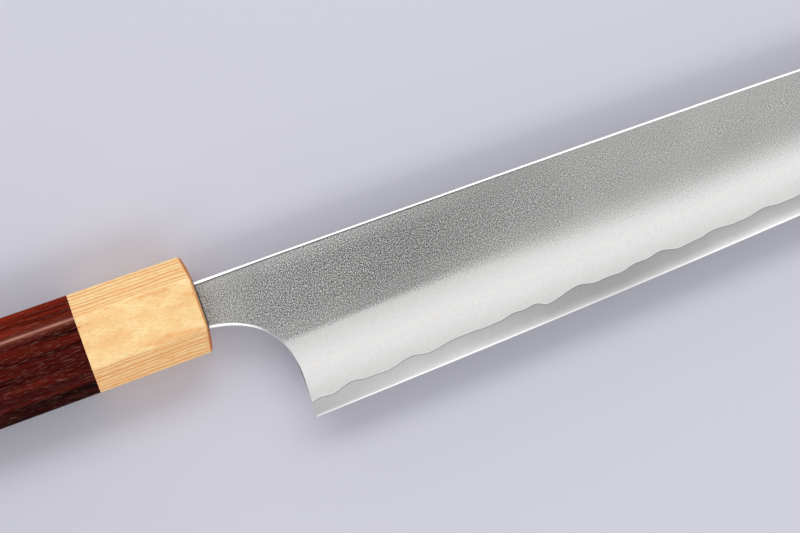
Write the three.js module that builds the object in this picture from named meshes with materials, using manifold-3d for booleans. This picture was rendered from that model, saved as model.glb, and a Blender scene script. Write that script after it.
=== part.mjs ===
// Slicing knife: a three-layer blade in an octagonal wooden handle, lying on its left side.
// Millimetres. X runs along the handle towards the tip, Y towards the spine, Z out of the right face.
// The pieces are laid out from the centre of the ferrule's front face, and the whole knife is then moved
// so that its origin lies under its middle.

import * as THREE from 'three';
import { mergeVertices } from 'three/addons/utils/BufferGeometryUtils.js';
import Module from 'manifold-3d';

// Blade outline
const BLADE_LENGTH = 270; // heel to tip
const HEEL_HEIGHT = 39.6; // spine to cutting edge at the heel
const NECK_LENGTH = 16.9; // ferrule to heel
const NECK_HEIGHT = 11.6; // spine to underside where the neck leaves the ferrule
const SPINE_RISE = 5.05; // spine above the handle's axis
const TIP_DROP = 19; // tip below the straight spine
const TIP_BLUNT = 0.3; // height of the rounded-off point

// Bends of the outline: a pull is the share of the blade's length over which a curve holds its direction
const SPINE_PULL = 0.725;
const SPINE_TIP_PULL = 0.2;
const SPINE_TIP_ANGLE = 20; // degrees that the spine falls at the tip
const EDGE_PULL = 0.48;
const EDGE_ANGLE = 2.2; // degrees that the edge climbs at the heel
const EDGE_TIP_PULL = 0.037;
const EDGE_TIP_ANGLE = 22; // degrees that the edge climbs at the tip

// Choil, the curve from the neck's underside down to the heel
const HEEL_WALL = 9.3; // straight stretch above the heel
const CHOIL_HOLLOW = 0.4; // how far the top of that stretch leans past the heel
const CHOIL_TURN = 11.8; // how far the curve holds the wall's direction
const NECK_TURN = 10.5; // how far it holds the neck's direction
const NECK_FALL = 1.3; // how far the underside falls meanwhile

// Blade thickness
const NECK_THICKNESS = 3; // where the neck leaves the ferrule
const HEEL_THICKNESS = 2.5; // above the heel
const TIP_THICKNESS = 0.8;
const SPINE_EASE = 0.45; // chamfer along the spine
const BEVEL_WIDTH = 19.5; // cutting edge to the ridge where the ground bevel starts
const BEVEL_SHARE = 0.92; // most of the blade's height that the bevel takes, near the tip
const BEVEL_CROWN = 1.25; // 1 is a flat bevel, more is a fuller one
const RIDGE_BEND = 6; // how abruptly the ridge turns down to follow the spine, near the tip
const HONED_WIDTH = 0.5; // honed strip along the cutting edge
const HONED_SHARE = 0.3; // most of the blade's height that the strip takes, at the tip
const HONED_THICKNESS = 0.24; // blade thickness where that strip starts
const HONED_THINNING = 0.5; // most of the blade's thickness that it takes, at the tip

// Blade layers
// Crests and troughs of the clad line: distance from the heel and height above the cutting edge
const CLAD_LINE = [
  [0, 3.6], [2.3, 3.93], [5.1, 3.62], [10.5, 4.7], [14.6, 4.13], [19.4, 3.94], [25.8, 4.95],
  [29.8, 4.15], [37.1, 4.87], [41.4, 4.82], [44.3, 4.6], [48.1, 4.65], [51.9, 5.2], [54.3, 4.97],
  [57.3, 5.22], [60.2, 4.07], [68.3, 5.35], [72.7, 4.42], [75.5, 4.48], [78.7, 4.27], [82.9, 4.93],
  [85.5, 4.82], [89.1, 5.3], [93.9, 4.23], [98.7, 4.42], [102.7, 5], [108.1, 4.46], [111.1, 4.5],
  [115.5, 5.08],
];
const LEFT_SHIFT = 37; // how far along the left face's waves are set off from the right face's
const CORE_SHARE = 0.9; // most of the blade's height that the bare core takes, at the tip
const CLAD_FEATHER = 0.015; // thickness of the cladding at the clad line
const WELD_GAP = 0.02; // between the layers

// Handle
const HANDLE_LENGTH = 145; // ferrule and body together
const FERRULE_LENGTH = 29;
const FRONT_HEIGHT = 23.75; // across the octagon at the ferrule's front
const BUTT_HEIGHT = 26.5; // across the octagon at the butt
const CORNER_CUT = 5.65; // leg of each slanted facet
const SIDE_WALL = 2.8; // wood between the dowel's bore and the side facets
const RIM_EASE = 0.9; // chamfer round the ferrule's front
const BUTT_EASE = 1.5; // chamfer round the butt

// Tang and what holds it
const SHOULDER_DEPTH = 5; // where the neck steps down to the tang, behind the ferrule's front
const TANG_STOP = 40; // tang's end to the butt
const TANG_HEIGHT = 7.8; // behind the shoulder
const TANG_END_HEIGHT = 5;
const TANG_END_THICKNESS = 1.8;
const MOUTH_DEPTH = 6.5; // slot in the ferrule that takes the neck
const MOUTH_CLEARANCE = 0.6; // round the neck, filled by the seal
const SLOT_CLEARANCE = 0.6; // round the tang, filled by the bedding
const SLOT_END_SPACE = 2; // slot behind the tang's end
const DOWEL_WALL = 1.2; // wood round the slot
const DOWEL_END_WALL = 5; // wood behind the slot
const GLUE_GAP = 0.15; // dowel to bore
const STEEL_GAP = 0.1; // filler to steel
const FILLER_GAP = 0.05; // filler to wood
const SEAL_PROUD = 0.35; // bead of the seal in front of the ferrule
const SEAL_LIP = 0.2; // thickness of that bead round the neck at its front
const SEAL_DEPTH = 3; // seal inside the ferrule

// Fineness of the surfaces
const BLADE_STEP = 2;
const TIP_STEP = 1;
const TIP_REACH = 18; // stretch before the tip with the finer step
const BEVEL_POINTS = [0.7, 0.4, 0.15]; // shares of the bevel's rise from the clad line to the ridge
const CURVE_STEPS = 14;
const BORE_SIDES = 36;
const CUT_MARGIN = 5; // how far cutters run past what they cut
const HALVINGS = 40; // steps in which a place on a curve is found
const MERGE_DISTANCE = 1e-4; // corners closer than this are one

// Places that follow from the sizes
const HEEL_X = NECK_LENGTH;
const TIP_X = HEEL_X + BLADE_LENGTH;
const HEEL_Y = SPINE_RISE - HEEL_HEIGHT;
const TIP_Y = SPINE_RISE - TIP_DROP;
const NECK_BOTTOM = SPINE_RISE - NECK_HEIGHT;
const TANG_END_X = TANG_STOP - HANDLE_LENGTH;
const SLOT_END_X = TANG_END_X - SLOT_END_SPACE;
const DOWEL_END_X = SLOT_END_X - DOWEL_END_WALL;

const wasm = await Module();
wasm.setup();

const { lerp, degToRad, pingpong } = THREE.MathUtils;

// Solids and cuts

function solidFrom(geometry) {
  const bare = new THREE.BufferGeometry();
  bare.setAttribute('position', geometry.getAttribute('position'));
  bare.setIndex(geometry.index);
  const merged = mergeVertices(bare, MERGE_DISTANCE);
  const vertProperties = new Float32Array(merged.getAttribute('position').array);
  const triVerts = new Uint32Array(merged.index.array);
  return new wasm.Manifold(new wasm.Mesh({ numProp: 3, vertProperties, triVerts }));
}

function cut(geometry, ...cutters) {
  let solid = solidFrom(geometry);
  for (const cutter of cutters) {
    solid = solid.subtract(solidFrom(cutter));
  }
  const { vertProperties, triVerts } = solid.getMesh();
  const result = new THREE.BufferGeometry();
  result.setAttribute('position', new THREE.BufferAttribute(vertProperties, 3));
  result.setIndex(new THREE.BufferAttribute(triVerts, 1));
  return result;
}

// A closed skin through sections that stand across X. Each section is a ring of [y, z] pairs, counter-
// clockwise seen from the tip, and the stations rise along X.
function loft(stations, sections) {
  const ring = sections[0].length;
  const last = stations.length - 1;
  const positions = [];
  stations.forEach((x, i) => sections[i].forEach(([y, z]) => positions.push(x, y, z)));
  const triangles = [];
  for (let i = 0; i < last; i++) {
    for (let j = 0; j < ring; j++) {
      const next = (j + 1) % ring;
      const here = [i * ring + j, i * ring + next];
      const ahead = [(i + 1) * ring + j, (i + 1) * ring + next];
      triangles.push(here[0], here[1], ahead[1], here[0], ahead[1], ahead[0]);
    }
  }
  const outline = (i) => sections[i].map(([y, z]) => new THREE.Vector2(y, z));
  for (const [a, b, c] of THREE.ShapeUtils.triangulateShape(outline(0), [])) {
    triangles.push(c, b, a);
  }
  for (const [a, b, c] of THREE.ShapeUtils.triangulateShape(outline(last), [])) {
    triangles.push(last * ring + a, last * ring + b, last * ring + c);
  }
  const geometry = new THREE.BufferGeometry();
  geometry.setAttribute('position', new THREE.Float32BufferAttribute(positions, 3));
  geometry.setIndex(triangles);
  return geometry;
}

const rectangle = (bottom, top, half) => [[bottom, -half], [top, -half], [top, half], [bottom, half]];

// A flat shape cut right through the thickness of the knife
function throughCutter(shape) {
  const depth = HANDLE_THICKNESS;
  const options = { depth, bevelEnabled: false, curveSegments: CURVE_STEPS };
  return new THREE.ExtrudeGeometry(shape, options).translate(0, 0, -depth / 2);
}

// Tang: its height, middle and thickness change evenly from the shoulder to its end

const tangShare = (x) => (-SHOULDER_DEPTH - x) / (-SHOULDER_DEPTH - TANG_END_X);
const tangMiddle = (x) => lerp(SPINE_RISE - NECK_HEIGHT / 2, 0, tangShare(x));
const tangHalfHeight = (x) => lerp(TANG_HEIGHT, TANG_END_HEIGHT, tangShare(x)) / 2;
const tangHalfThickness = (x) => lerp(NECK_THICKNESS, TANG_END_THICKNESS, x / TANG_END_X) / 2;
const tangTop = (x) => tangMiddle(x) + tangHalfHeight(x);
const tangBottom = (x) => tangMiddle(x) - tangHalfHeight(x);

function roundTang(x, space) {
  return rectangle(tangBottom(x) - space, tangTop(x) + space, tangHalfThickness(x) + space);
}

function roundNeck(space) {
  return rectangle(NECK_BOTTOM - space, SPINE_RISE + space, NECK_THICKNESS / 2 + space);
}

// The dowel clears the slot's farthest corner, and the handle's thickness clears the dowel
const SLOT_CORNER = Math.max(...roundTang(-MOUTH_DEPTH, SLOT_CLEARANCE).map(([y, z]) => Math.hypot(y, z)));
const DOWEL_RADIUS = SLOT_CORNER + DOWEL_WALL;
const BORE_RADIUS = DOWEL_RADIUS + GLUE_GAP;
const HANDLE_THICKNESS = 2 * (BORE_RADIUS + SIDE_WALL);

// Blade outline and thickness

function curve(start, startAngle, startPull, end, endAngle, endPull) {
  const reach = (angle, pull) => {
    const turn = degToRad(angle);
    return new THREE.Vector2(Math.cos(turn), Math.sin(turn)).multiplyScalar(pull * BLADE_LENGTH);
  };
  const leave = start.clone().add(reach(startAngle, startPull));
  const arrive = end.clone().sub(reach(endAngle, endPull));
  return new THREE.CubicBezierCurve(start, leave, arrive, end);
}

const spineCurve = curve(
  new THREE.Vector2(HEEL_X, SPINE_RISE), 0, SPINE_PULL,
  new THREE.Vector2(TIP_X, TIP_Y + TIP_BLUNT / 2), -SPINE_TIP_ANGLE, SPINE_TIP_PULL,
);
const edgeCurve = curve(
  new THREE.Vector2(HEEL_X, HEEL_Y), EDGE_ANGLE, EDGE_PULL,
  new THREE.Vector2(TIP_X, TIP_Y - TIP_BLUNT / 2), EDGE_TIP_ANGLE, EDGE_TIP_PULL,
);

// Height of a curve above the handle's axis at x, found by halving
function heightAt(line, x) {
  let low = 0;
  let high = 1;
  for (let i = 0; i < HALVINGS; i++) {
    const middle = (low + high) / 2;
    if (line.getPoint(middle).x < x) low = middle;
    else high = middle;
  }
  return line.getPoint(high).y;
}

function halfThickness(x) {
  if (x < 0) return tangHalfThickness(x);
  if (x < HEEL_X) return lerp(NECK_THICKNESS, HEEL_THICKNESS, x / HEEL_X) / 2;
  return lerp(HEEL_THICKNESS, TIP_THICKNESS, (x - HEEL_X) / BLADE_LENGTH) / 2;
}

// What the sections share at x: the edge, the spine, and the blade's half thickness above the edge
function bladeAt(x) {
  const edge = heightAt(edgeCurve, x);
  const spine = heightAt(spineCurve, x);
  const height = spine - edge;
  const half = halfThickness(x);
  const ridge = (BEVEL_WIDTH ** -RIDGE_BEND + (BEVEL_SHARE * height) ** -RIDGE_BEND) ** (-1 / RIDGE_BEND);
  const honedWidth = Math.min(HONED_WIDTH, HONED_SHARE * height);
  const honedHalf = Math.min(HONED_THICKNESS / 2, HONED_THINNING * half);
  const halfAbove = (rise) => {
    if (rise >= ridge) return half;
    const share = (rise - honedWidth) / (ridge - honedWidth);
    return honedHalf + (half - honedHalf) * (1 - (1 - share) ** BEVEL_CROWN);
  };
  return { edge, spine, height, half, ridge, honedWidth, honedHalf, halfAbove };
}

// Clad line above the cutting edge: smooth waves that run there and back along the crests and troughs
function cladLine(x, shift) {
  const along = pingpong(Math.max(x - HEEL_X, 0) + shift, CLAD_LINE.at(-1)[0]);
  const next = Math.max(1, CLAD_LINE.findIndex(([place]) => place >= along));
  const [startPlace, startRise] = CLAD_LINE[next - 1];
  const [endPlace, endRise] = CLAD_LINE[next];
  const share = (along - startPlace) / (endPlace - startPlace);
  return lerp(startRise, endRise, (1 - Math.cos(Math.PI * share)) / 2);
}

function layersAt(x, shift) {
  const blade = bladeAt(x);
  const line = Math.min(cladLine(x, shift), CORE_SHARE * blade.height);
  const cladHalf = blade.halfAbove(line);
  return { ...blade, line, cladHalf, coreHalf: cladHalf - CLAD_FEATHER - WELD_GAP };
}

function bladeStations() {
  const stations = [TANG_END_X, 0];
  const fine = TIP_X - TIP_REACH;
  const steps = Math.ceil((fine - HEEL_X) / BLADE_STEP);
  for (let i = 0; i <= steps; i++) {
    stations.push(lerp(HEEL_X, fine, i / steps));
  }
  const tipSteps = Math.ceil(TIP_REACH / TIP_STEP);
  for (let i = 1; i <= tipSteps; i++) {
    stations.push(lerp(fine, TIP_X, i / tipSteps));
  }
  return stations;
}

// Half of a core section, from the honed strip up to the spine
function coreSide(x, shift) {
  const { edge, spine, line, honedWidth, honedHalf, coreHalf, halfAbove } = layersAt(x, shift);
  const middle = (honedWidth + line) / 2;
  const middleHalf = Math.min(halfAbove(middle), coreHalf);
  const top = Math.max(coreHalf, honedHalf);
  return [
    [edge + honedWidth, honedHalf],
    [edge + middle, Math.max(middleHalf, honedHalf)],
    [edge + line, top],
    [spine, top],
  ];
}

function coreSection(x) {
  const right = coreSide(x, 0);
  const left = coreSide(x, LEFT_SHIFT).map(([y, z]) => [y, -z]);
  return [[heightAt(edgeCurve, x), 0], ...left, ...right.reverse()];
}

// A right cladding section: along the core, over the eased spine, down the flat and the bevel
function claddingSection(x, shift) {
  const { edge, spine, half, ridge, line, cladHalf, coreHalf, halfAbove } = layersAt(x, shift);
  const inner = coreHalf + WELD_GAP;
  const ease = Math.min(SPINE_EASE, (half - inner) / 2);
  const shoulder = Math.max(ridge, line + ease);
  const bevel = BEVEL_POINTS.map((share) => {
    const rise = lerp(line, shoulder, share);
    return [edge + rise, halfAbove(rise)];
  });
  return [
    [edge + line, inner],
    [spine, inner],
    [spine, half - ease],
    [spine - ease, half],
    [edge + shoulder, half],
    ...bevel,
    [edge + line, cladHalf],
  ];
}

// The space below the neck, the choil and the tang
function undersideCutter() {
  const wallTop = HEEL_Y + HEEL_WALL;
  const wallX = HEEL_X + CHOIL_HOLLOW;
  const floor = HEEL_Y - CUT_MARGIN;
  const back = TANG_END_X - CUT_MARGIN;
  const shape = new THREE.Shape();
  shape.moveTo(HEEL_X, floor);
  shape.lineTo(HEEL_X, HEEL_Y);
  shape.lineTo(wallX, wallTop);
  shape.bezierCurveTo(wallX, wallTop + CHOIL_TURN, NECK_TURN, NECK_BOTTOM - NECK_FALL, 0, NECK_BOTTOM);
  shape.lineTo(-SHOULDER_DEPTH, NECK_BOTTOM);
  shape.lineTo(-SHOULDER_DEPTH, tangBottom(-SHOULDER_DEPTH));
  shape.lineTo(back, tangBottom(back));
  shape.lineTo(back, floor);
  return throughCutter(shape);
}

// The space above the tang
function tangTopCutter() {
  const back = TANG_END_X - CUT_MARGIN;
  const ceiling = SPINE_RISE + CUT_MARGIN;
  const shape = new THREE.Shape();
  shape.moveTo(-SHOULDER_DEPTH, ceiling);
  shape.lineTo(back, ceiling);
  shape.lineTo(back, tangTop(back));
  shape.lineTo(-SHOULDER_DEPTH, tangTop(-SHOULDER_DEPTH));
  return throughCutter(shape);
}

const bladeCutters = [undersideCutter(), tangTopCutter()];

function coreSteel() {
  const stations = bladeStations();
  return cut(loft(stations, stations.map(coreSection)), ...bladeCutters);
}

// The cladding stops where the clad line meets the spine, just before the tip
function cladding(shift) {
  const covered = (x) => bladeAt(x).height - cladLine(x, shift) > HONED_WIDTH;
  const stations = bladeStations().filter(covered);
  return loft(stations, stations.map((x) => claddingSection(x, shift)));
}

const rightCladding = () => cut(cladding(0), ...bladeCutters);

function leftCladding() {
  const mirrored = cladding(LEFT_SHIFT).scale(1, 1, -1);
  mirrored.setIndex(Array.from(mirrored.index.array).reverse());
  return cut(mirrored, ...bladeCutters);
}

// Handle

const handleHeight = (x) => lerp(FRONT_HEIGHT, BUTT_HEIGHT, -x / HANDLE_LENGTH);

// An octagon with corners cut at 45 degrees, drawn in evenly on all its sides by the inset
function octagon(x, inset = 0) {
  const top = handleHeight(x) / 2 - inset;
  const side = HANDLE_THICKNESS / 2 - inset;
  const corner = CORNER_CUT - inset * (2 - Math.SQRT2);
  const quarter = [[top, side - corner], [top - corner, side]];
  const turned = quarter.map(([y, z]) => [-y, z]).reverse();
  const upper = [...quarter, ...turned];
  return [...upper, ...upper.map(([y, z]) => [-y, -z])];
}

function rod(radius, backX, frontX) {
  const length = frontX - backX;
  const geometry = new THREE.CylinderGeometry(radius, radius, length, BORE_SIDES);
  return geometry.rotateZ(Math.PI / 2).translate(backX + length / 2, 0, 0);
}

function ferrule() {
  const block = loft([-FERRULE_LENGTH, -RIM_EASE, 0], [
    octagon(-FERRULE_LENGTH),
    octagon(-RIM_EASE),
    octagon(0, RIM_EASE),
  ]);
  const mouth = roundNeck(MOUTH_CLEARANCE);
  const slot = loft([-MOUTH_DEPTH - CUT_MARGIN, CUT_MARGIN], [mouth, mouth]);
  const bore = rod(BORE_RADIUS, -FERRULE_LENGTH - CUT_MARGIN, -MOUTH_DEPTH);
  return cut(block, slot, bore);
}

function handleBody() {
  const block = loft([-HANDLE_LENGTH, BUTT_EASE - HANDLE_LENGTH, -FERRULE_LENGTH], [
    octagon(-HANDLE_LENGTH, BUTT_EASE),
    octagon(BUTT_EASE - HANDLE_LENGTH),
    octagon(-FERRULE_LENGTH),
  ]);
  return cut(block, rod(BORE_RADIUS, DOWEL_END_X - GLUE_GAP, CUT_MARGIN - FERRULE_LENGTH));
}

// A tapered block round the tang, from behind the neck's slot to backX
function tangBlock(space, backX, frontX) {
  return loft([backX, frontX], [roundTang(backX, space), roundTang(frontX, space)]);
}

function tangDowel() {
  const front = -MOUTH_DEPTH - GLUE_GAP;
  const slot = tangBlock(SLOT_CLEARANCE, SLOT_END_X, front + CUT_MARGIN);
  return cut(rod(DOWEL_RADIUS, DOWEL_END_X, front), slot);
}

function tangBedding() {
  const front = -MOUTH_DEPTH - GLUE_GAP;
  const sleeve = tangBlock(SLOT_CLEARANCE - FILLER_GAP, SLOT_END_X + FILLER_GAP, front);
  return cut(sleeve, tangBlock(STEEL_GAP, TANG_END_X - STEEL_GAP, front + CUT_MARGIN));
}

function mouthSeal() {
  const outside = roundNeck(MOUTH_CLEARANCE - FILLER_GAP);
  const inside = roundNeck(STEEL_GAP);
  const sleeve = loft([-SEAL_DEPTH, 0, SEAL_PROUD], [outside, outside, roundNeck(STEEL_GAP + SEAL_LIP)]);
  return cut(sleeve, loft([-SEAL_DEPTH - CUT_MARGIN, SEAL_PROUD + CUT_MARGIN], [inside, inside]));
}

// The knife

const PEAR_SKIN_STEEL = { color: '#9c9d9e', roughness: 0.55, metalness: 1 };
const POLISHED_STEEL = { color: '#c6c7c9', roughness: 0.25, metalness: 1 };
const PALE_WOOD = { color: '#e9bd82', roughness: 0.5, metalness: 0 };
const ROSEWOOD = { color: '#58231b', roughness: 0.4, metalness: 0 };
const DOWEL_WOOD = { color: '#c6a273', roughness: 0.7, metalness: 0 };
const ADHESIVE = { color: '#b9a98a', roughness: 0.4, metalness: 0 };
const FILLER = { color: '#2d2521', roughness: 0.6, metalness: 0 };

const knife = new THREE.Group();

function addPiece(name, geometry, look) {
  const mesh = new THREE.Mesh(geometry, new THREE.MeshStandardMaterial({ ...look, flatShading: true }));
  mesh.name = name;
  knife.add(mesh);
}

addPiece('core_steel', coreSteel(), POLISHED_STEEL);
addPiece('right_cladding', rightCladding(), PEAR_SKIN_STEEL);
addPiece('left_cladding', leftCladding(), PEAR_SKIN_STEEL);
addPiece('ferrule', ferrule(), PALE_WOOD);
addPiece('handle_body', handleBody(), ROSEWOOD);
addPiece('tang_dowel', tangDowel(), DOWEL_WOOD);
addPiece('tang_bedding', tangBedding(), ADHESIVE);
addPiece('mouth_seal', mouthSeal(), FILLER);

const box = new THREE.Box3().setFromObject(knife);
const middle = box.getCenter(new THREE.Vector3());
knife.position.set(-middle.x, -middle.y, -box.min.z);

export default knife;
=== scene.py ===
"""The looks of a slicing knife: a three-layer blade in an octagonal handle of two woods.

Lengths are millimetres in the knife's own frame until a mesh is placed: x runs along the handle from the
middle of the ferrule's front face towards the tip, y towards the spine and z out of the right face.
"""
import math

import bmesh
import bpy
import numpy as np
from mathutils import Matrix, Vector


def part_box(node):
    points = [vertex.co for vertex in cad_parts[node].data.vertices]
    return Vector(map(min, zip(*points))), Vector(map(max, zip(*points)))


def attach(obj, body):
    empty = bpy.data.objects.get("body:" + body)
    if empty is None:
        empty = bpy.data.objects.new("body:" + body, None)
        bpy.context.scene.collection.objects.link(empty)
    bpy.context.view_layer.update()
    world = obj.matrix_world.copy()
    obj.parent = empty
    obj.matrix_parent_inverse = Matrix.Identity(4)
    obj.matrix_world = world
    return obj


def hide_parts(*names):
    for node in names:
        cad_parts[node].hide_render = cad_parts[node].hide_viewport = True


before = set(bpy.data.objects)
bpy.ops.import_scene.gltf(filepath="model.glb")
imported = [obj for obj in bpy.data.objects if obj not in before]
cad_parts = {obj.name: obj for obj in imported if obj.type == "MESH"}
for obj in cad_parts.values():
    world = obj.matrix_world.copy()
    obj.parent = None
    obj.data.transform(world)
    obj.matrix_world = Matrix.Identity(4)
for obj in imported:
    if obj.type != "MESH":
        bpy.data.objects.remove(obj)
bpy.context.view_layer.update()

MM = 0.001

# Where the knife's own frame lies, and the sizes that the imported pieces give

FRONT_LOW, FRONT_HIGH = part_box("ferrule")
ORIGIN = np.array([FRONT_HIGH.x, (FRONT_LOW.y + FRONT_HIGH.y) / 2, (FRONT_LOW.z + FRONT_HIGH.z) / 2])


def corners(node):
    """A node's lowest and highest corners in the knife's own frame."""
    low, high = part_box(node)
    return (np.array(low) - ORIGIN) / MM, (np.array(high) - ORIGIN) / MM


CORE_LOW, CORE_HIGH = corners("core_steel")
FERRULE_LOW, FERRULE_HIGH = corners("ferrule")
BODY_LOW, BODY_HIGH = corners("handle_body")
DOWEL_LOW, DOWEL_HIGH = corners("tang_dowel")

TIP_X = CORE_HIGH[0]
SPINE_Y = CORE_HIGH[1]
HEEL_Y = CORE_LOW[1]
TANG_END_X = CORE_LOW[0]
JOINT_X = FERRULE_LOW[0]
BUTT_X = BODY_LOW[0]

# Blade outline

HEEL_X = 16.9
BLADE_LENGTH = TIP_X - HEEL_X
TIP_Y = SPINE_Y - 19
TIP_BLUNT = 0.3
NECK_BOTTOM = SPINE_Y - 11.6
SPINE_BEND = {"angles": (0, -20), "pulls": (0.725, 0.2)}
EDGE_BEND = {"angles": (2.2, 22), "pulls": (0.48, 0.037)}
HEEL_WALL = 9.3
CHOIL_HOLLOW = 0.4
CHOIL_TURN = 11.8
NECK_TURN = 10.5
NECK_FALL = 1.3
SHOULDER_X = -5
TANG_HEIGHTS = (7.8, 5)

# Blade thickness and layers

TANG_END_THICKNESS = 1.8
NECK_THICKNESS = 3
HEEL_THICKNESS = 2.5
TIP_THICKNESS = 0.8
BEVEL_WIDTH = 19.5
BEVEL_SHARE = 0.92
BEVEL_CROWN = 1.25
# How sharply the bevel's ridge turns where the tip gets too narrow for BEVEL_WIDTH
RIDGE_BLEND = 6.0
HONED_WIDTH = 0.5
HONED_LIMIT = 0.3
HONED_THICKNESS = 0.24
# Widths of the polished spine at the ferrule and from the heel on, and of the polished choil
SPINE_POLISH = (0.68, 0.46)
CHOIL_POLISH = 0.75
EASE_DEPTH = 0.4
# Profile of a polished edge from its wall to the face: shares of its width and of its depth
EASE_PROFILE = np.array([(0, 1), (0.06, 0.72), (0.2, 0.5), (1, 0)])
# The share of that width at which the plain face starts
FACE_START = 1.12
# Largest shares of the face's height and of the layer's thickness that a polished edge takes
POLISH_LIMIT = 0.2
EASE_LIMIT = 0.6
NO_EASE = 0.01
# Crests and troughs of the clad line: distance from the heel and height above the edge
CLAD_LINE = np.array([
    (0, 3.6), (2.3, 3.93), (5.1, 3.62), (10.5, 4.7), (14.6, 4.13), (19.4, 3.94), (25.8, 4.95),
    (29.8, 4.15), (37.1, 4.87), (41.4, 4.82), (44.3, 4.6), (48.1, 4.65), (51.9, 5.2), (54.3, 4.97),
    (57.3, 5.22), (60.2, 4.07), (68.3, 5.35), (72.7, 4.42), (75.5, 4.48), (78.7, 4.27), (82.9, 4.93),
    (85.5, 4.82), (89.1, 5.3), (93.9, 4.23), (98.7, 4.42), (102.7, 5.0), (108.1, 4.46), (111.1, 4.5),
    (115.5, 5.08),
])
CLAD_LIMIT = 0.9
LEFT_SHIFT = 37
CLAD_FEATHER = 0.015

# Handle

CORNER_CUT = 5.65
RIDGE_ROUND = 1.6
RIM_ROUND = 0.55
BUTT_ROUND = 1.5
RIM_PROFILE = 0.36
END_CROWN = 1.1
CROWN_POWER = 4
HEIGHT_GAIN = (BODY_HIGH[1] - FERRULE_HIGH[1]) / (BUTT_X + BUTT_ROUND - JOINT_X)
MOUTH_DEPTH = 6.5
MOUTH_CLEARANCE = 0.6
GLUE_GAP = 0.15
STEEL_GAP = 0.1
FILLER_GAP = 0.05
BEAD_PROUD = 0.35
BEAD_LIP = 0.2
BEAD_DEPTH = 3
BEAD_POWER = 6
# How far a cutter reaches past the wood, and the mouth's cutter into the bore behind it
CUT_PAST = 5
MOUTH_PAST = 1

# Fineness of the meshes

CURVE_STEPS = 2000
SEARCH_STEPS = 4000
TANG_STATIONS = 16
NECK_STATIONS = 5
CHOIL_STATIONS = 40
WALL_STATIONS = 12
EDGE_STEP = 0.75
# The stations lean this far forward at the heel, and stand up again along the blade
STATION_LEAN = 3.0
LEAN_FADE = 20
FLAT_ROWS = 8
BEVEL_ROWS = 14
# The rows of the bevel crowd towards the ridge, which lies within these shares of the face's height
ROW_CROWDING = 1.4
RIDGE_LIMITS = (0.12, 0.9)
CORE_ROWS = 10
# Least shares of the core that lies below its clad line, and of that strip that is honed
BARE_LEAST = 0.02
HONED_LEAST = 0.1
RIDGE_STEPS = 7
RIM_STEPS = 4
DOME_CUTS = 17
BORE_SIDES = 48
BEAD_STEPS = 25
# Points closer than MERGE become one, and points within NEAR of a plane lie on it
MERGE = 0.001 * MM
NEAR = 0.01 * MM
SHARP_ANGLE = math.radians(30)


def placed(points):
    """Points of the knife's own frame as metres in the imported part's frame."""
    return ORIGIN + np.asarray(points) * MM


def linear(hex_colour):
    """A colour written as sRGB hex, as the linear colour that the shaders take."""
    channels = [int(hex_colour[i:i + 2], 16) / 255 for i in (1, 3, 5)]
    bent = [c / 12.92 if c <= 0.04045 else ((c + 0.055) / 1.055) ** 2.4 for c in channels]
    return (*bent, 1)


def feed(tree, node, inputs):
    """Gives a node's inputs a value, a socket's link, or the first result of another node."""
    for socket, value in inputs.items():
        if isinstance(value, bpy.types.Node):
            value = next(output for output in value.outputs if output.enabled)
        if isinstance(value, bpy.types.NodeSocket):
            tree.links.new(value, node.inputs[socket])
        else:
            node.inputs[socket].default_value = value


def add(tree, kind, inputs=None, stops=(), **settings):
    """Adds a node with its settings, its inputs and a colour ramp's stops, the two outer ones first."""
    node = tree.nodes.new(kind)
    for name, value in settings.items():
        setattr(node, name, value)
    feed(tree, node, inputs or {})
    for i, (place, colour) in enumerate(stops):
        stop = node.color_ramp.elements[i] if i < 2 else node.color_ramp.elements.new(place)
        stop.position = place
        stop.color = linear(colour)
    return node


def start_material(name, metallic=0.0):
    """A new material, its tree, its shader, and the place on the knife in millimetres."""
    material = bpy.data.materials.new(name)
    material.use_nodes = True
    tree = material.node_tree
    shader = tree.nodes["Principled BSDF"]
    shader.inputs["Metallic"].default_value = metallic
    coordinates = add(tree, "ShaderNodeTexCoord")
    knife_mm = add(tree, "ShaderNodeMapping", {
        "Vector": coordinates.outputs["Object"],
        "Location": tuple(-ORIGIN / MM),
        "Scale": (1 / MM,) * 3,
    })
    return material, tree, shader, knife_mm


# Steel

# Sizes of the forged grain, its clouds, the specks by the ferrule and the bevel's mottle
GRAIN = 0.26
CLOUD = 11
SPECK = 0.45
MOTTLE = 0.8
PIT_DEPTH = 0.02
GRAIN_TURN = math.radians(37)
# Grains are spread evenly for the eye, which sees about this root of the light
EYE_POWER = 2.2
# How far the pale grains run ahead of the dark ones where the flats fade into the bevel's haze
PALE_FIRST = 1.7
# Past the stretch that the photograph shows, the flats go back to the tones of the heel
FAR_START, FAR_END = 145, 200
SKIN_GREY = "#9d9d9c"
POLISHED = "#eeeeed"
# Tones up the bevel, from the edge at 0 to the ridge at 1
HAZE_STOPS = (
    (0.25, "#dfdfde"), (1.0, "#d7d7d6"), (0.36, "#e6e6e5"), (0.46, "#edecec"), (0.6, "#f0efee"),
    (0.72, "#ecebeb"), (0.82, "#e5e5e4"), (0.92, "#dddddc"))
# Tones up the core, from the edge at 0 to the clad line at 0.5 and on to the spine
CORE_STOPS_AT_HEEL = (
    (0.02, "#f8f8f8"), (1.0, "#dcdcdb"), (0.045, "#d0d0d0"), (0.475, "#cccccc"), (0.488, "#8a8a8a"),
    (0.5, "#8a8a8a"), (0.52, "#dcdcdb"))
# Further along, the strip grows paler from its clad line down to the edge: a painted reflection
CORE_STOPS_ALONG = (
    (0.02, "#f8f8f8"), (1.0, "#dcdcdb"), (0.05, "#e0e0e0"), (0.225, "#bfbfbf"), (0.475, "#b3b3b3"),
    (0.488, "#9e9e9e"), (0.5, "#9e9e9e"), (0.52, "#dcdcdb"))
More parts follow.
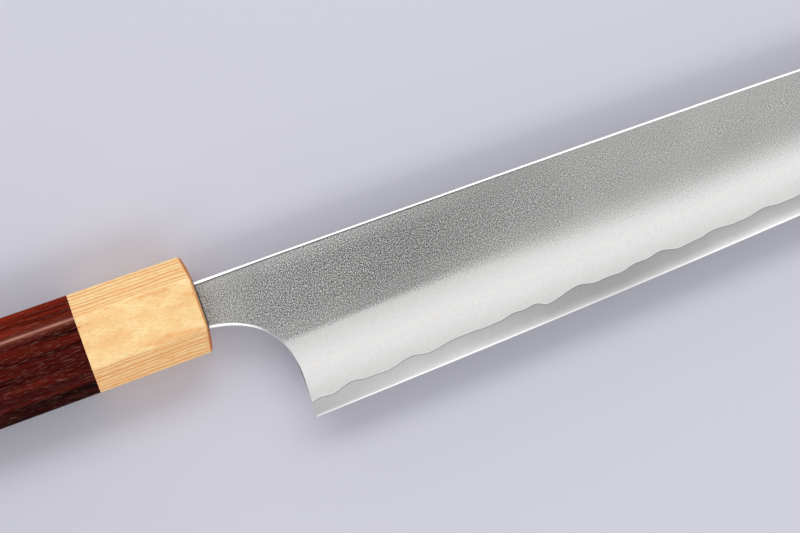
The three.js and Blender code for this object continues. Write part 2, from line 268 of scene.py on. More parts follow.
# Columns of a row that ramps a level: what it follows, from where to where, and its values there
RAMP = ("Value", "From Min", "From Max", "To Min", "To Max")
STONE_WAVE = 85
STONE_WAVE_START = 28
STONE_STROKE = (5, 0.3, 1)
STROKE_TURN = math.radians(62)


def forged_grain(tree, place):
    """The pear skin's grains, as numbers round zero: two crossed noises, so that no row of dots shows."""
    turned = add(tree, "ShaderNodeMapping", {"Vector": place, "Rotation": (0, 0, GRAIN_TURN)})
    grains = [add(tree, "ShaderNodeTexNoise", {
        "Vector": vector, "Scale": 1 / GRAIN, "Detail": 1, "Roughness": 0.6},
        noise_dimensions="2D") for vector in (place, turned)]
    crossed = add(tree, "ShaderNodeMath", {0: grains[0], 1: grains[1]}, operation="ADD")
    return add(tree, "ShaderNodeMath", {0: crossed, 1: 1}, operation="SUBTRACT")


def pear_skin(tree, place, along, above_ridge, off_grey):
    """The tone of the flats: a dull speckled grey."""
    below_spine, below_polish = (
        add(tree, "ShaderNodeAttribute", attribute_name=name).outputs["Fac"]
        for name in ("below_spine", "below_polish"))

    # Contrast of the grains, in rows
    contrasts = (
        (along, 40, 110, 3.9, 1.47),  # calmer from the heel to the middle
        (along, FAR_START, FAR_END, 1, 1.6),  # rougher again towards the tip
        (along, 4, 18, 0.6, 1),  # calmer on the neck
        (above_ridge, 0, 7, 0.5, 1),  # and by the ridge
        (below_spine, 0, 6, 0.48, 1),  # and by the spine
    )
    grains = off_grey
    for row in contrasts:
        contrast = add(tree, "ShaderNodeMapRange", dict(zip(RAMP, row)))
        grains = add(tree, "ShaderNodeMath", {0: grains, 1: contrast}, operation="MULTIPLY")
    grain_shade = add(tree, "ShaderNodeMath", {
        0: grains, 1: 1 / EYE_POWER, 2: 1.0}, operation="MULTIPLY_ADD")
    grain_level = add(tree, "ShaderNodeMath", {0: grain_shade, 1: EYE_POWER}, operation="POWER")

    # Coarse dark specks close to the ferrule
    specks = add(tree, "ShaderNodeTexNoise", {"Vector": place, "Scale": 1 / SPECK, "Detail": 1})
    speck = add(tree, "ShaderNodeMapRange", {
        "Value": specks, "From Min": 0.52, "From Max": 0.64, "To Min": 0, "To Max": 0.5})
    speck_reach = add(tree, "ShaderNodeMapRange", {
        "Value": along, "From Min": 0.5, "From Max": 4, "To Min": -1, "To Max": 0})
    speck_level = add(tree, "ShaderNodeMath", {0: speck, 1: speck_reach, 2: 1.0}, operation="MULTIPLY_ADD")

    # Broad tones, in rows, some of which change their strength along the blade
    clouds = add(tree, "ShaderNodeTexNoise", {"Vector": place, "Scale": 1 / CLOUD, "Detail": 1})
    # Painted glare: the flats grow paler from the heel towards the middle of the blade
    painted_glare = add(tree, "ShaderNodeMapRange", {
        "Value": along, "From Min": 40, "From Max": 125, "To Min": 0.96, "To Max": 1.52},
        interpolation_type="SMOOTHSTEP")
    ridge_strength = add(tree, "ShaderNodeMapRange", {
        "Value": along, "From Min": 70, "From Max": 115, "To Min": 1.3, "To Max": 1})
    heel_strength = add(tree, "ShaderNodeMapRange", {
        "Value": along, "From Min": 2, "From Max": 26, "To Min": 1.18, "To Max": 1.6})
    spine_strength = add(tree, "ShaderNodeMapRange", {
        "Value": along, "From Min": 45, "From Max": 80, "To Min": heel_strength, "To Max": 1.04})
    seam_strength = add(tree, "ShaderNodeMapRange", {
        "Value": along, "From Min": 55, "From Max": 95, "To Min": 0.12, "To Max": 1})
    levels = (
        (clouds, 0.3, 0.7, 0.97, 1.03),  # faint clouds
        (along, FAR_START, FAR_END, 1, 0.72),  # the painted glare of the middle fades again towards the tip
        (along, 20, 45, 1, 0.9),  # darker past the heel
        (along, 0, 14, 1.43, 1),  # paler on the neck, partly its own tone and partly painted light against the ferrule's shade
        (above_ridge, 0, 6, ridge_strength, 1),  # a bloom along the ridge
        (below_spine, 0, 5, spine_strength, 1),  # and along the spine
        (below_polish, 0, 0.45, seam_strength, 1),  # a dark hairline where the polished spine begins
    )
    level = grain_level
    for part_level in (painted_glare, speck_level):
        level = add(tree, "ShaderNodeMath", {0: level, 1: part_level}, operation="MULTIPLY")
    for row in levels:
        part_level = add(tree, "ShaderNodeMapRange", dict(zip(RAMP, row)))
        level = add(tree, "ShaderNodeMath", {0: level, 1: part_level}, operation="MULTIPLY")
    return add(tree, "ShaderNodeVectorMath", {0: linear(SKIN_GREY)[:3], "Scale": level}, operation="SCALE")


def bevel_haze(tree, place, along, share, above_ridge, off_grey):
    """The tone of the ground bevel: a haze, palest along its middle and faintly mottled, with a hairline
    over the clad line and a dust of the skin's grains under the ridge."""
    above_line = add(tree, "ShaderNodeAttribute", attribute_name="above_line").outputs["Fac"]
    haze_tone = add(tree, "ShaderNodeValToRGB", {0: share}, stops=HAZE_STOPS)
    mottle = add(tree, "ShaderNodeTexNoise", {
        "Vector": place, "Scale": 1 / MOTTLE, "Detail": 3, "Roughness": 0.75})
    dust_strength = add(tree, "ShaderNodeMapRange", {
        "Value": along, "From Min": 45, "From Max": 85, "To Min": 0.34, "To Max": 0.05})
    dust = add(tree, "ShaderNodeMapRange", {
        "Value": above_ridge, "From Min": -4.5, "From Max": 0, "To Min": 0, "To Max": dust_strength})
    level = add(tree, "ShaderNodeMath", {0: off_grey, 1: dust, 2: 1.0}, operation="MULTIPLY_ADD")
    for row in ((mottle, 0.3, 0.7, 0.96, 1.04), (above_line, 0.05, 0.3, 1.12, 1)):
        part_level = add(tree, "ShaderNodeMapRange", dict(zip(RAMP, row)))
        level = add(tree, "ShaderNodeMath", {0: level, 1: part_level}, operation="MULTIPLY")
    return add(tree, "ShaderNodeVectorMath", {0: haze_tone, "Scale": level}, operation="SCALE")


def flat_share(tree, along, above_ridge, off_grey):
    """How far the haze has given way to the skin: at a crisp ridge near the heel, and further along in a
    wide fade, in which the pale grains join the haze first."""
    fade = add(tree, "ShaderNodeMapRange", {
        "Value": along, "From Min": 35, "From Max": 125, "To Min": 0.8, "To Max": 5.0},
        interpolation_type="SMOOTHSTEP")
    sink = add(tree, "ShaderNodeMapRange", {
        "Value": along, "From Min": 67, "From Max": 120, "To Min": 0.1, "To Max": 1.9})
    fade_start = add(tree, "ShaderNodeMath", {0: fade, 1: -1}, operation="MULTIPLY")
    pale_first = add(tree, "ShaderNodeMath", {0: fade_start, 1: PALE_FIRST}, operation="MULTIPLY")
    grainy = add(tree, "ShaderNodeMath", {
        0: off_grey, 1: pale_first, 2: above_ridge}, operation="MULTIPLY_ADD")
    into_fade = add(tree, "ShaderNodeMath", {0: grainy, 1: sink}, operation="ADD")
    return add(tree, "ShaderNodeMapRange", {
        "Value": into_fade, "From Min": fade_start, "From Max": fade}, interpolation_type="SMOOTHSTEP")


def clad_steel():
    """Soft stainless cladding: forged pear-skin flats, a ground bevel misted by fine stones, and
    hand-polished spine and choil edges. The flats are a dull speckled grey, the bevel a pale haze."""
    material, tree, shader, place = start_material("pear_skin_stainless", metallic=1)
    along = add(tree, "ShaderNodeSeparateXYZ", {0: place}).outputs["X"]
    rise, ridge, polish = (
        add(tree, "ShaderNodeAttribute", attribute_name=name).outputs["Fac"]
        for name in ("rise", "ridge", "polish"))
    above_ridge = add(tree, "ShaderNodeMath", {0: rise, 1: ridge}, operation="SUBTRACT")
    share = add(tree, "ShaderNodeMath", {0: rise, 1: ridge}, operation="DIVIDE")
    off_grey = forged_grain(tree, place)
    skin_tone = pear_skin(tree, place, along, above_ridge, off_grey)
    haze_tone = bevel_haze(tree, place, along, share, above_ridge, off_grey)
    on_flat = flat_share(tree, along, above_ridge, off_grey)
    ground = add(tree, "ShaderNodeMix", {0: on_flat, 6: haze_tone, 7: skin_tone}, data_type="RGBA")
    tone = add(tree, "ShaderNodeMix", {0: polish, 6: ground, 7: linear(POLISHED)}, data_type="RGBA")
    gloss = add(tree, "ShaderNodeMix", {0: polish, 2: 0.6, 3: 0.35})
    pits = add(tree, "ShaderNodeMath", {0: off_grey, 1: on_flat}, operation="MULTIPLY")
    bump = add(tree, "ShaderNodeBump", {"Height": pits, "Distance": PIT_DEPTH * MM, "Strength": 0.5})
    feed(tree, shader, {"Base Color": tone, "Roughness": gloss, "Normal": bump})
    return material


def core_steel():
    """Hard carbon-rich core, drawn over slanting stones: a grey strip with a dark etched line at its top,
    which brightens down to a white honed edge, a painted reflection of the polished core,
    and in long waves where the stones bore harder."""
    material, tree, shader, place = start_material("stoned_core_steel", metallic=1)
    along = add(tree, "ShaderNodeSeparateXYZ", {0: place}).outputs["X"]
    line_share = add(tree, "ShaderNodeAttribute", attribute_name="line_share").outputs["Fac"]
    near_heel = add(tree, "ShaderNodeValToRGB", {0: line_share}, stops=CORE_STOPS_AT_HEEL)
    far_along = add(tree, "ShaderNodeValToRGB", {0: line_share}, stops=CORE_STOPS_ALONG)
    passage = add(tree, "ShaderNodeMapRange", {"Value": along, "From Min": 25, "From Max": 85})
    tone = add(tree, "ShaderNodeMix", {0: passage, 6: near_heel, 7: far_along}, data_type="RGBA")
    stroke_place = add(tree, "ShaderNodeMapping", {
        "Vector": place, "Rotation": (0, 0, STROKE_TURN), "Scale": STONE_STROKE}, vector_type="TEXTURE")
    strokes = add(tree, "ShaderNodeTexNoise", {"Vector": stroke_place, "Scale": 1, "Detail": 2})
    stroke_level = add(tree, "ShaderNodeMapRange", {
        "Value": strokes, "From Min": 0.3, "From Max": 0.7, "To Min": 0.975, "To Max": 1.025})
    wave_turn = 2 * math.pi / STONE_WAVE
    phase = add(tree, "ShaderNodeMath", {
        0: along, 1: wave_turn, 2: -wave_turn * STONE_WAVE_START}, operation="MULTIPLY_ADD")
    wave = add(tree, "ShaderNodeMath", {0: phase}, operation="SINE")
    wave_height = add(tree, "ShaderNodeMapRange", {
        "Value": line_share, "From Min": 0.15, "From Max": 0.45, "To Min": 0.19, "To Max": 0.09})
    wave_level = add(tree, "ShaderNodeMath", {0: wave, 1: wave_height, 2: 1.02}, operation="MULTIPLY_ADD")
    core_level = add(tree, "ShaderNodeMath", {0: stroke_level, 1: wave_level}, operation="MULTIPLY")
    stroked = add(tree, "ShaderNodeVectorMath", {0: tone, "Scale": core_level}, operation="SCALE")
    feed(tree, shader, {"Base Color": stroked, "Roughness": 0.5})
    return material


# Woods, fillers and paper

RING_SPACING = 0.66
RING_SPREAD = 1.6
PITH_DEPTH = 68
# Lengths of each figure along the grain, across it and down into it
RING_SWAY = (18, 5, 5)
FIGURE = (4.5, 2.6, 2.6)
FLECK = (1.7, 0.16, 0.16)
BAND = (70, 2.2, 2.2)
STREAK = (45, 1.5, 1.5)
STREAK_SWAY = (22, 5, 5)
PORE = (3.2, 0.16, 0.16)
# Length of the patches along which the painted ridge highlight varies
HIGHLIGHT_PATCH = 9
PORE_DEPTH = 0.02
# Distances from the handle's middle between which its broad facet turns into a slanted one
BROAD_END, SLANT_START = 5.6, 7.4


def growth_rings(tree, place):
    """Pale years with orange ends, uneven and swaying, round a pith far below the handle."""
    sway_place = add(tree, "ShaderNodeMapping", {"Vector": place, "Scale": RING_SWAY}, vector_type="TEXTURE")
    sway = add(tree, "ShaderNodeTexNoise", {"Vector": sway_place, "Scale": 1, "Detail": 3})
    pith = add(tree, "ShaderNodeMapping", {
        "Vector": place, "Location": (0, 0, PITH_DEPTH), "Scale": (0, 1, 1)})
    radius = add(tree, "ShaderNodeVectorMath", {0: pith}, operation="LENGTH")
    swayed = add(tree, "ShaderNodeMath", {0: sway, 1: 1.1, 2: radius}, operation="MULTIPLY_ADD")
    years = add(tree, "ShaderNodeTexNoise", {
        "W": swayed, "Scale": 1 / RING_SPREAD, "Detail": 1}, noise_dimensions="1D")
    uneven = add(tree, "ShaderNodeMath", {0: years, 1: 0.9, 2: swayed}, operation="MULTIPLY_ADD")
    ring = add(tree, "ShaderNodeMath", {0: uneven, 1: 1 / RING_SPACING}, operation="MULTIPLY")
    season = add(tree, "ShaderNodeMath", {0: ring}, operation="FRACT")
    ring_number = add(tree, "ShaderNodeMath", {0: ring}, operation="FLOOR")
    ring_strength = add(tree, "ShaderNodeTexWhiteNoise", {"W": ring_number}, noise_dimensions="1D")
    late = add(tree, "ShaderNodeValToRGB", {0: season}, stops=(
        (0.0, "#ffffff"), (1.0, "#ffffff"), (0.18, "#bcbcbc"), (0.4, "#000000"), (0.75, "#000000")))
    strength = add(tree, "ShaderNodeMapRange", {
        "Value": ring_strength.outputs["Value"], "To Min": 0.1, "To Max": 1.3})
    late_share = add(tree, "ShaderNodeMath", {0: late, 1: strength}, operation="MULTIPLY")
    return add(tree, "ShaderNodeMix", {
        0: late_share, 6: linear("#ffe2a8"), 7: linear("#e07718")}, data_type="RGBA")


def pale_wood():
    """Flat-sawn pale hardwood, sanded and oiled: a warm straw face with a soft figure, fine orange growth
    lines where the slanted facets cut them, small flecks, and an end that drinks oil and darkens."""
    material, tree, shader, place = start_material("oiled_pale_hardwood")
    across = add(tree, "ShaderNodeSeparateXYZ", {0: place}).outputs["Y"]
    end_grain = add(tree, "ShaderNodeAttribute", attribute_name="end_grain").outputs["Fac"]
    grown = growth_rings(tree, place)
    figure_place = add(tree, "ShaderNodeMapping", {"Vector": place, "Scale": FIGURE}, vector_type="TEXTURE")
    figure = add(tree, "ShaderNodeTexNoise", {"Vector": figure_place, "Scale": 1, "Detail": 3})
    figure_share = add(tree, "ShaderNodeMapRange", {
        "Value": figure, "From Min": 0.35, "From Max": 0.75, "To Max": 0.58})
    figured = add(tree, "ShaderNodeMix", {0: figure_share, 6: grown, 7: linear("#f9c07c")}, data_type="RGBA")
    fleck_place = add(tree, "ShaderNodeMapping", {"Vector": place, "Scale": FLECK}, vector_type="TEXTURE")
    flecks = add(tree, "ShaderNodeTexNoise", {"Vector": fleck_place, "Scale": 1, "Detail": 2})
    fleck_share = add(tree, "ShaderNodeMapRange", {
        "Value": flecks, "From Min": 0.5, "From Max": 0.74, "To Max": 0.8})
    flecked = add(tree, "ShaderNodeMix", {
        0: fleck_share, 6: figured, 7: linear("#e79c55")}, data_type="RGBA")
    # Painted shade: the lower slanted facets a little darker and more orange
    low_facet_shade = add(tree, "ShaderNodeMapRange", {
        "Value": across, "From Min": -SLANT_START, "From Max": -BROAD_END, "To Min": 1, "To Max": 0})
    low_shaded = add(tree, "ShaderNodeMix", {
        0: low_facet_shade, 6: flecked, 7: linear("#fff7f3")}, data_type="RGBA", blend_type="MULTIPLY")
    ended = add(tree, "ShaderNodeMix", {
        0: end_grain, 6: low_shaded, 7: linear("#c58d5c")}, data_type="RGBA", blend_type="MULTIPLY")
    bump = add(tree, "ShaderNodeBump", {"Height": flecks, "Distance": PORE_DEPTH * MM, "Strength": 0.4})
    feed(tree, shader, {"Base Color": ended, "Roughness": 0.4, "Specular IOR Level": 0.3, "Normal": bump})
    return material


def red_bands(tree, place, across):
    """Broad bands, which shade from dark to red across the handle. They are redder and lighter on the upper
    slanted facets and darker on the lower ones: partly the wood's colour, partly painted light and shade.
    """
    band_place = add(tree, "ShaderNodeMapping", {"Vector": place, "Scale": BAND}, vector_type="TEXTURE")
    bands = add(tree, "ShaderNodeTexNoise", {
        "Vector": band_place, "Scale": 1, "Detail": 4, "Roughness": 0.6})
    red_and_painted_light = add(tree, "ShaderNodeMapRange", {
        "Value": across, "From Min": BROAD_END, "From Max": SLANT_START, "To Min": 0, "To Max": 0.2},
        interpolation_type="SMOOTHSTEP")
    dark_and_painted_shade = add(tree, "ShaderNodeMapRange", {
        "Value": across, "From Min": -SLANT_START, "From Max": -BROAD_END, "To Min": -0.07, "To Max": 0})
    redder = add(tree, "ShaderNodeMath", {0: bands, 1: red_and_painted_light}, operation="ADD")
    band = add(tree, "ShaderNodeMath", {0: redder, 1: dark_and_painted_shade}, operation="ADD")
    return add(tree, "ShaderNodeValToRGB", {0: band}, stops=(
        (0.28, "#220605"), (0.9, "#84230a"), (0.44, "#3a0d0b"), (0.56, "#4e140f"), (0.7, "#6c1b09")))


def black_streaks(tree, place, across):
    """Shares of black streaks of uneven width, which sway along the grain."""
    sway_place = add(tree, "ShaderNodeMapping", {
        "Vector": place, "Scale": STREAK_SWAY}, vector_type="TEXTURE")
    sway = add(tree, "ShaderNodeTexNoise", {"Vector": sway_place, "Scale": 1, "Detail": 1})
    sway_move = add(tree, "ShaderNodeVectorMath", {
        0: sway.outputs["Color"], 1: (0, 1.6, 1.6)}, operation="MULTIPLY")
    swayed = add(tree, "ShaderNodeVectorMath", {0: place, 1: sway_move}, operation="ADD")
    streak_place = add(tree, "ShaderNodeMapping", {
        "Vector": swayed, "Location": (0, 0.9, 0), "Scale": STREAK}, vector_type="TEXTURE")
    streaks = add(tree, "ShaderNodeTexNoise", {
        "Vector": streak_place, "Scale": 1, "Detail": 4, "Roughness": 0.6})
    streak_strength = add(tree, "ShaderNodeMapRange", {
        "Value": across, "From Min": BROAD_END, "From Max": SLANT_START, "To Min": 0.85, "To Max": 0.6})
    return add(tree, "ShaderNodeMapRange", {
        "Value": streaks, "From Min": 0.5, "From Max": 0.66, "To Max": streak_strength})


def rosewood():
    """Oiled and burnished rosewood: deep red-brown bands, redder and lighter towards the spine and darker
    below, partly the wood's colour and partly painted light, with black streaks, short pale pores along the
    grain, a low gloss on the ridges, and a painted highlight and glow along the upper ones."""
    material, tree, shader, place = start_material("oiled_rosewood")
    across = add(tree, "ShaderNodeSeparateXYZ", {0: place}).outputs["Y"]
    end_grain, ridge_highlight, past_ridge = (
        add(tree, "ShaderNodeAttribute", attribute_name=name).outputs["Fac"]
        for name in ("end_grain", "ridge_highlight", "past_ridge"))
    tone = red_bands(tree, place, across)
    streak_share = black_streaks(tree, place, across)
    streaked = add(tree, "ShaderNodeMix", {0: streak_share, 6: tone, 7: linear("#120202")}, data_type="RGBA")
    pore_place = add(tree, "ShaderNodeMapping", {"Vector": place, "Scale": PORE}, vector_type="TEXTURE")
    pores = add(tree, "ShaderNodeTexNoise", {"Vector": pore_place, "Scale": 1, "Detail": 2})
    off_middle = add(tree, "ShaderNodeMath", {0: across}, operation="ABSOLUTE")
    pore_strength = add(tree, "ShaderNodeMapRange", {
        "Value": off_middle, "From Min": BROAD_END, "From Max": SLANT_START, "To Min": 0.66, "To Max": 0.45})
    pore_share = add(tree, "ShaderNodeMapRange", {
        "Value": pores, "From Min": 0.59, "From Max": 0.7, "To Max": pore_strength})
    pored = add(tree, "ShaderNodeMix", {0: pore_share, 6: streaked, 7: linear("#946a5e")}, data_type="RGBA")

    # Painted highlights along the ridges, and a painted glow beside them
    highlight_patches = add(tree, "ShaderNodeTexNoise", {"Vector": place, "Scale": 1 / HIGHLIGHT_PATCH, "Detail": 1})
    highlight_line = add(tree, "ShaderNodeMath", {0: ridge_highlight, 1: 1.6}, operation="POWER")
    highlight_share = add(tree, "ShaderNodeMath", {0: highlight_line, 1: highlight_patches}, operation="MULTIPLY")
    off_ridge = add(tree, "ShaderNodeMath", {0: past_ridge}, operation="ABSOLUTE")
    glow_strength = add(tree, "ShaderNodeMapRange", {
        "Value": past_ridge, "From Min": -0.2, "From Max": 0.2, "To Min": 0.28, "To Max": 0.14})
    glow = add(tree, "ShaderNodeMapRange", {
        "Value": off_ridge, "From Min": 0.2, "From Max": 2, "To Min": glow_strength, "To Max": 0},
        interpolation_type="SMOOTHSTEP")
    glowing = add(tree, "ShaderNodeMix", {0: glow, 6: pored, 7: linear("#b8604c")}, data_type="RGBA")
    highlighted = add(tree, "ShaderNodeMix", {0: highlight_share, 6: glowing, 7: linear("#dfa793")}, data_type="RGBA")
    ended = add(tree, "ShaderNodeMix", {
        0: end_grain, 6: highlighted, 7: linear("#a39a96")}, data_type="RGBA", blend_type="MULTIPLY")
    sheen = add(tree, "ShaderNodeMapRange", {"Value": highlight_line, "To Min": 0.03, "To Max": 0.85})
    bump = add(tree, "ShaderNodeBump", {
        "Height": pores, "Distance": PORE_DEPTH * MM, "Strength": 0.4}, invert=True)
    feed(tree, shader, {
        "Base Color": ended, "Roughness": 0.3, "Specular IOR Level": sheen,
        "Specular Tint": linear("#ffcabc"), "Normal": bump})
    return material


def plain_filler(name, colours, grain, roughness):
    """A hidden or recessed filler: two close tones mottled at its grain size."""
    material, tree, shader, place = start_material(name)
    mottle = add(tree, "ShaderNodeTexNoise", {"Vector": place, "Scale": 1 / grain, "Detail": 3})
    tone = add(tree, "ShaderNodeValToRGB", {0: mottle}, stops=(
        (0.35, colours[0]), (0.65, colours[1])))
    feed(tree, shader, {"Base Color": tone, "Roughness": roughness})
    return material


def pale_paper():
    """Matt paper: an even, faintly blue pale grey that takes soft shadows."""
    material, tree, shader, _ = start_material("pale_paper")
    feed(tree, shader, {"Base Color": linear("#d1d1dd"), "Roughness": 0.9, "Specular IOR Level": 0.1})
    return material


# Meshes


def new_object(name, data):
    """A new object in the scene."""
    thing = bpy.data.objects.new(name, data)
    bpy.context.scene.collection.objects.link(thing)
    return thing


def mark(mesh, values):
    """Gives each point of a mesh the numbers that its material reads by name."""
    for value, numbers in values.items():
        attribute = mesh.attributes.new(value, "FLOAT", "POINT")
        attribute.data.foreach_set("value", np.asarray(numbers, dtype=np.float32).ravel())


def smooth(mesh):
    """Shades a mesh smooth, apart from its sharp edges."""
    mesh.shade_smooth()
    mesh.set_sharp_from_angle(angle=SHARP_ANGLE)


def skin(name, rings, values, material, sleeve=False):
    """A closed piece through rings of points, which run counter-clockwise seen from the tip.

    In a sleeve the last ring meets the first, and otherwise both are filled."""
    rings = np.asarray(rings)
    stations, points = rings.shape[:2]
    index = np.arange(stations * points).reshape(stations, points)
    here, ahead = (index, np.roll(index, -1, 0)) if sleeve else (index[:-1], index[1:])
    quads = np.stack([here, np.roll(here, -1, 1), np.roll(ahead, -1, 1), ahead], axis=-1)
    ends = [] if sleeve else [index[0, ::-1].tolist(), index[-1].tolist()]
    faces = quads.reshape(-1, 4).tolist() + ends
    mesh = bpy.data.meshes.new(name)
    mesh.from_pydata(placed(rings.reshape(-1, 3)).tolist(), [], faces)
    mark(mesh, values)
    shape = bmesh.new()
    shape.from_mesh(mesh)
    bmesh.ops.remove_doubles(shape, verts=shape.verts, dist=MERGE)
    bmesh.ops.recalc_face_normals(shape, faces=shape.faces)
    shape.to_mesh(mesh)
    shape.free()
    smooth(mesh)
    if material:
        mesh.materials.append(material)
    return new_object(name, mesh)


def bezier(points, steps):
    """Points along a cubic curve."""
    t = np.linspace(0, 1, steps + 1)[:, None]
    a, b, c, d = np.asarray(points, dtype=float)
    return (1 - t) ** 3 * a + 3 * (1 - t) ** 2 * t * b + 3 * (1 - t) * t ** 2 * c + t ** 3 * d


def blade_line(start, end, angles, pulls):
    """The spine or the edge: a curve that leaves and arrives at its angles."""
    start, end = np.array(start), np.array(end)
    reach = [pull * BLADE_LENGTH * np.array([math.cos(math.radians(a)), math.sin(math.radians(a))])
             for a, pull in zip(angles, pulls)]
    return bezier([start, start + reach[0], end - reach[1], end], CURVE_STEPS)


SPINE_LINE = blade_line((HEEL_X, SPINE_Y), (TIP_X, TIP_Y + TIP_BLUNT / 2), **SPINE_BEND)
EDGE_LINE = blade_line((HEEL_X, HEEL_Y), (TIP_X, TIP_Y - TIP_BLUNT / 2), **EDGE_BEND)


def spine_y(x):
    """Where the spine runs."""
    return np.interp(x, *SPINE_LINE.T)


def edge_y(x):
    """Where the cutting edge runs."""
    return np.interp(x, *EDGE_LINE.T)


def above_edge(points):
    """How far points stand above the cutting edge."""
    return points[..., 1] - edge_y(points[..., 0])


def half_thickness(x):
    """Half of the blade's or the tang's thickness away from the bevel."""
    places = (TANG_END_X, 0, HEEL_X, TIP_X)
    return np.interp(x, places, (TANG_END_THICKNESS, NECK_THICKNESS, HEEL_THICKNESS, TIP_THICKNESS)) / 2


def ridge_rise(x):
    """How far above the edge the ground bevel starts."""
    height = spine_y(x) - edge_y(x)
    return (BEVEL_WIDTH ** -RIDGE_BLEND + (BEVEL_SHARE * height) ** -RIDGE_BLEND) ** (-1 / RIDGE_BLEND)


def face_z(x, rise):
    """How far the blade's face stands from its middle plane, at a rise above the edge."""
    half = half_thickness(x)
    honed_width = np.minimum(HONED_WIDTH, HONED_LIMIT * (spine_y(x) - edge_y(x)))
    honed_half = np.minimum(HONED_THICKNESS / 2, half / 2)
    share = np.clip((rise - honed_width) / (ridge_rise(x) - honed_width), 0, 1)
    ground = honed_half + (half - honed_half) * (1 - (1 - share) ** BEVEL_CROWN)
    return np.where(rise < honed_width, honed_half * np.clip(rise / honed_width, 0, 1), ground)


def clad_rise(x, shift):
    """The clad line's height above the edge. Its waves run there and back along CLAD_LINE, from shift."""
    reach = CLAD_LINE[-1, 0]
    along = reach - np.abs(reach - (np.maximum(x - HEEL_X, 0) + shift) % (2 * reach))
    before = np.clip(np.searchsorted(CLAD_LINE[:, 0], along) - 1, 0, len(CLAD_LINE) - 2)
    start, end = CLAD_LINE[before], CLAD_LINE[before + 1]
    share = (along - start[..., 0]) / (end[..., 0] - start[..., 0])
    line = start[..., 1] + (end[..., 1] - start[..., 1]) * (1 - np.cos(math.pi * share)) / 2
    return np.minimum(line, CLAD_LIMIT * (spine_y(x) - edge_y(x)))


def core_z(x, shift):
    """How far the core reaches from the middle plane, above the clad line."""
    return face_z(x, clad_rise(x, shift)) - CLAD_FEATHER


def tang_lines(x):
    """Underside and top of the tang."""
    share = (SHOULDER_X - x) / (SHOULDER_X - TANG_END_X)
    middle = (SPINE_Y + NECK_BOTTOM) / 2 * (1 - share)
    half = (TANG_HEIGHTS[0] + (TANG_HEIGHTS[1] - TANG_HEIGHTS[0]) * share) / 2
    return middle - half, middle + half


def station_lines(low_rise, end_x):
    """Lines across the blade, as their low and high ends, from the tang's end to end_x.

    The low ends follow the tang, the neck, the choil and the heel, then the height that low_rise gives."""
    tang_x = np.linspace(TANG_END_X, SHOULDER_X, TANG_STATIONS)
    tang_low, tang_high = tang_lines(tang_x)
    neck_x = np.linspace(SHOULDER_X, 0, NECK_STATIONS)
    wall_top = (HEEL_X + CHOIL_HOLLOW, HEEL_Y + HEEL_WALL)
    choil = bezier([(0, NECK_BOTTOM), (NECK_TURN, NECK_BOTTOM - NECK_FALL),
                    (wall_top[0], wall_top[1] + CHOIL_TURN), wall_top], CHOIL_STATIONS)[1:]
    start_rise = float(low_rise(HEEL_X))
    start_x = HEEL_X + CHOIL_HOLLOW * start_rise / HEEL_WALL
    wall = np.linspace(wall_top, (start_x, HEEL_Y + start_rise), WALL_STATIONS)[1:]
    bend = np.vstack([[(0, NECK_BOTTOM)], choil, wall])
    walked = np.cumsum(np.hypot(*np.diff(bend, axis=0).T))
    bend_high_x = walked / walked[-1] * (start_x + STATION_LEAN)
    edge_x = np.linspace(start_x, end_x, int((end_x - start_x) / EDGE_STEP) + 1)[1:]
    edge_high_x = np.minimum(edge_x + STATION_LEAN * np.exp((start_x - edge_x) / LEAN_FADE), end_x)
    low = np.vstack([
        np.column_stack([tang_x, tang_low]),
        np.column_stack([neck_x, np.full(NECK_STATIONS, NECK_BOTTOM)]),
        bend[1:],
        np.column_stack([edge_x, edge_y(edge_x) + low_rise(edge_x)]),
    ])
    high_x = np.concatenate([tang_x, neck_x, bend_high_x, edge_high_x])
    high_y = np.concatenate([tang_high, spine_y(high_x[len(tang_x):])])
    on_choil = np.arange(len(low)) < len(low) - len(edge_x)
    return low, np.column_stack([high_x, high_y]), on_choil


def points_across(low, high, rises, low_rises, high_rises):
    """Points on station lines at rises between those of the lines' ends."""
    share = ((rises - low_rises[:, None]) / (high_rises - low_rises)[:, None])[..., None]
    return low[:, None] + share * (high - low)[:, None]


